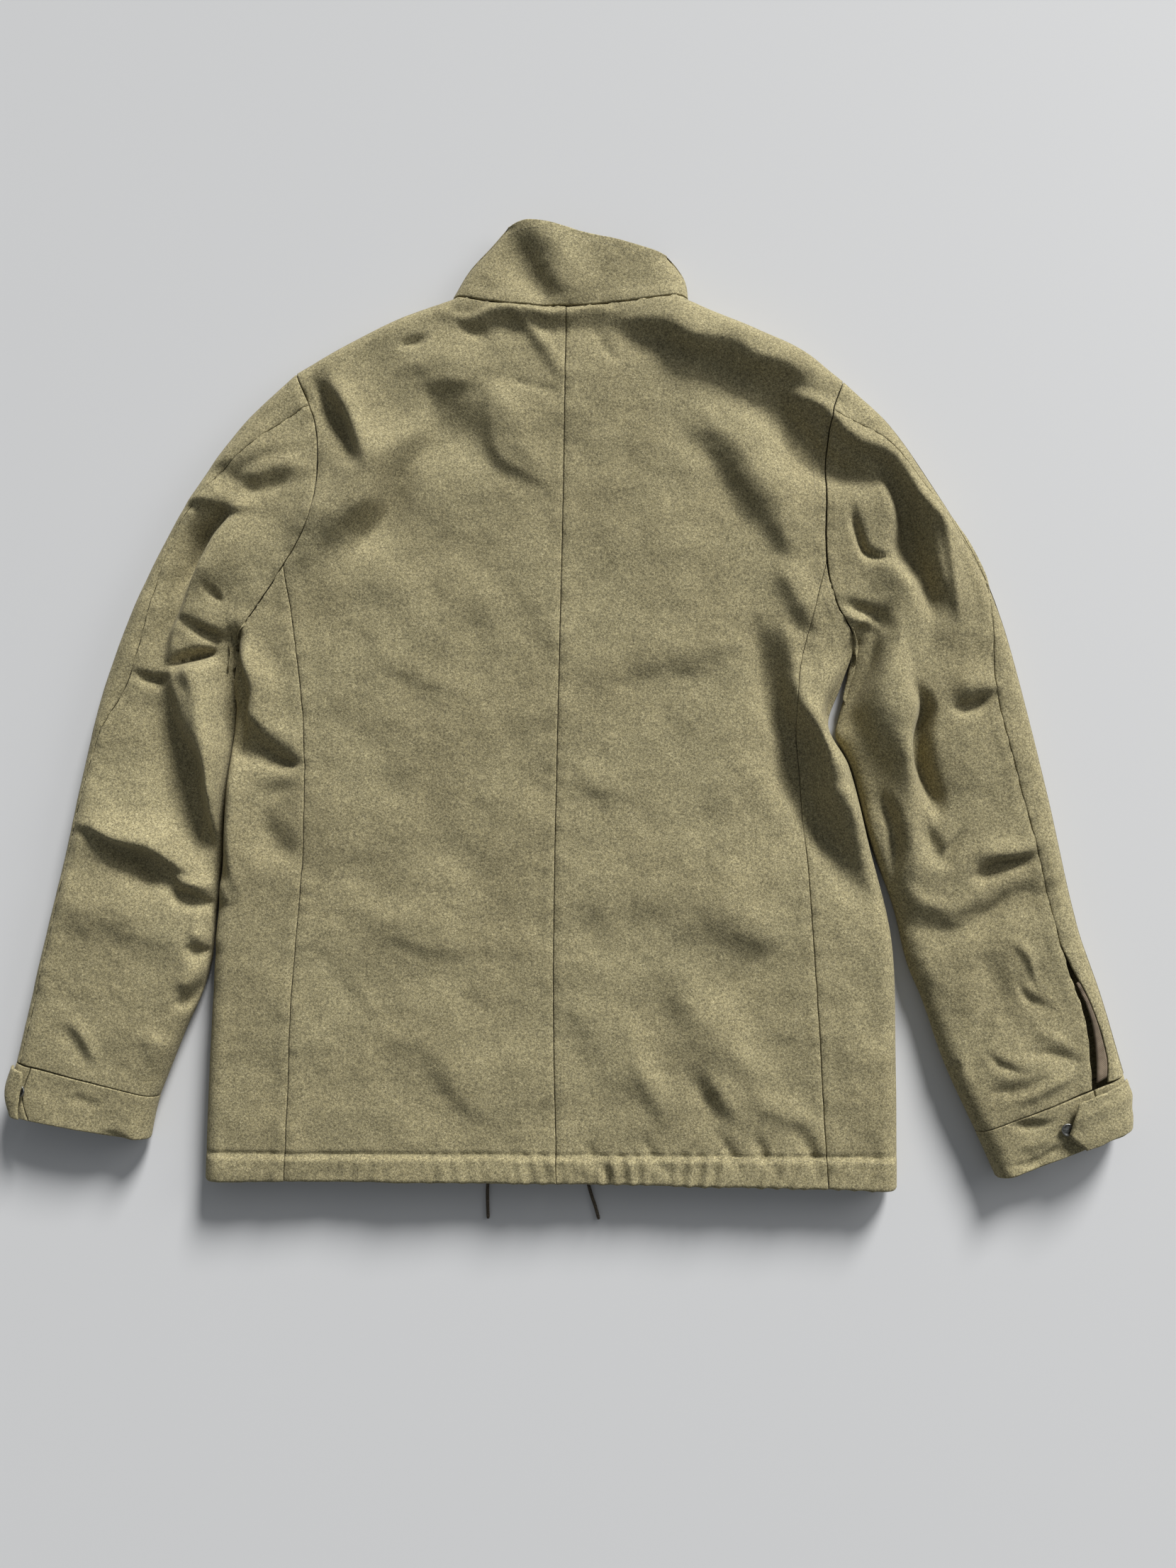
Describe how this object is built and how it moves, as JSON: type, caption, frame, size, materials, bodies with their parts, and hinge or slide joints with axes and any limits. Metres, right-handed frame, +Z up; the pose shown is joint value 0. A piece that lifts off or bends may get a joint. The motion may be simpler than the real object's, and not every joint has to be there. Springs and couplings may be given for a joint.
{
  "type": "wool military jacket",
  "caption": "Hip-length wool jacket laid flat face down, with a seamed back, two-piece sleeves with tabbed cuffs, a turned-up collar and a corded hem.",
  "frame": {"origin": "on the surface that the jacket lies on, under the middle of its outline without the drawcord ends", "axes": "+X across the jacket towards the right sleeve as seen from above, +Y from hem to collar, +Z up from the front underneath to the back on top"},
  "size_m": [0.8934, 0.8064, 0.0371],
  "materials": {
    "wool": "matte melton wool, olive khaki",
    "wool_shaded": "the same melton wool, a little darker so that the cut pieces tell apart",
    "facing": "brown cotton drill",
    "cord": "dark brown braided cord",
    "gunmetal": "dulled metal"
  },
  "bodies": {
    "root": {"back_left": "wool", "side_left": "wool_shaded", "front_left": "wool_shaded", "under_sleeve_left": "wool", "top_sleeve_left": "wool_shaded", "cuff_left": "wool_shaded", "cuff_tab_left": "wool", "cuff_button_left": "gunmetal", "drawcord_left": "cord", "back_right": "wool", "side_right": "wool_shaded", "front_right": "wool_shaded", "under_sleeve_right": "wool", "top_sleeve_right": "wool_shaded", "cuff_right": "wool_shaded", "cuff_tab_right": "wool", "cuff_button_right": "gunmetal", "drawcord_right": "cord", "collar": "wool", "slit_facing_right": "facing"}
  },
  "joints": []
}
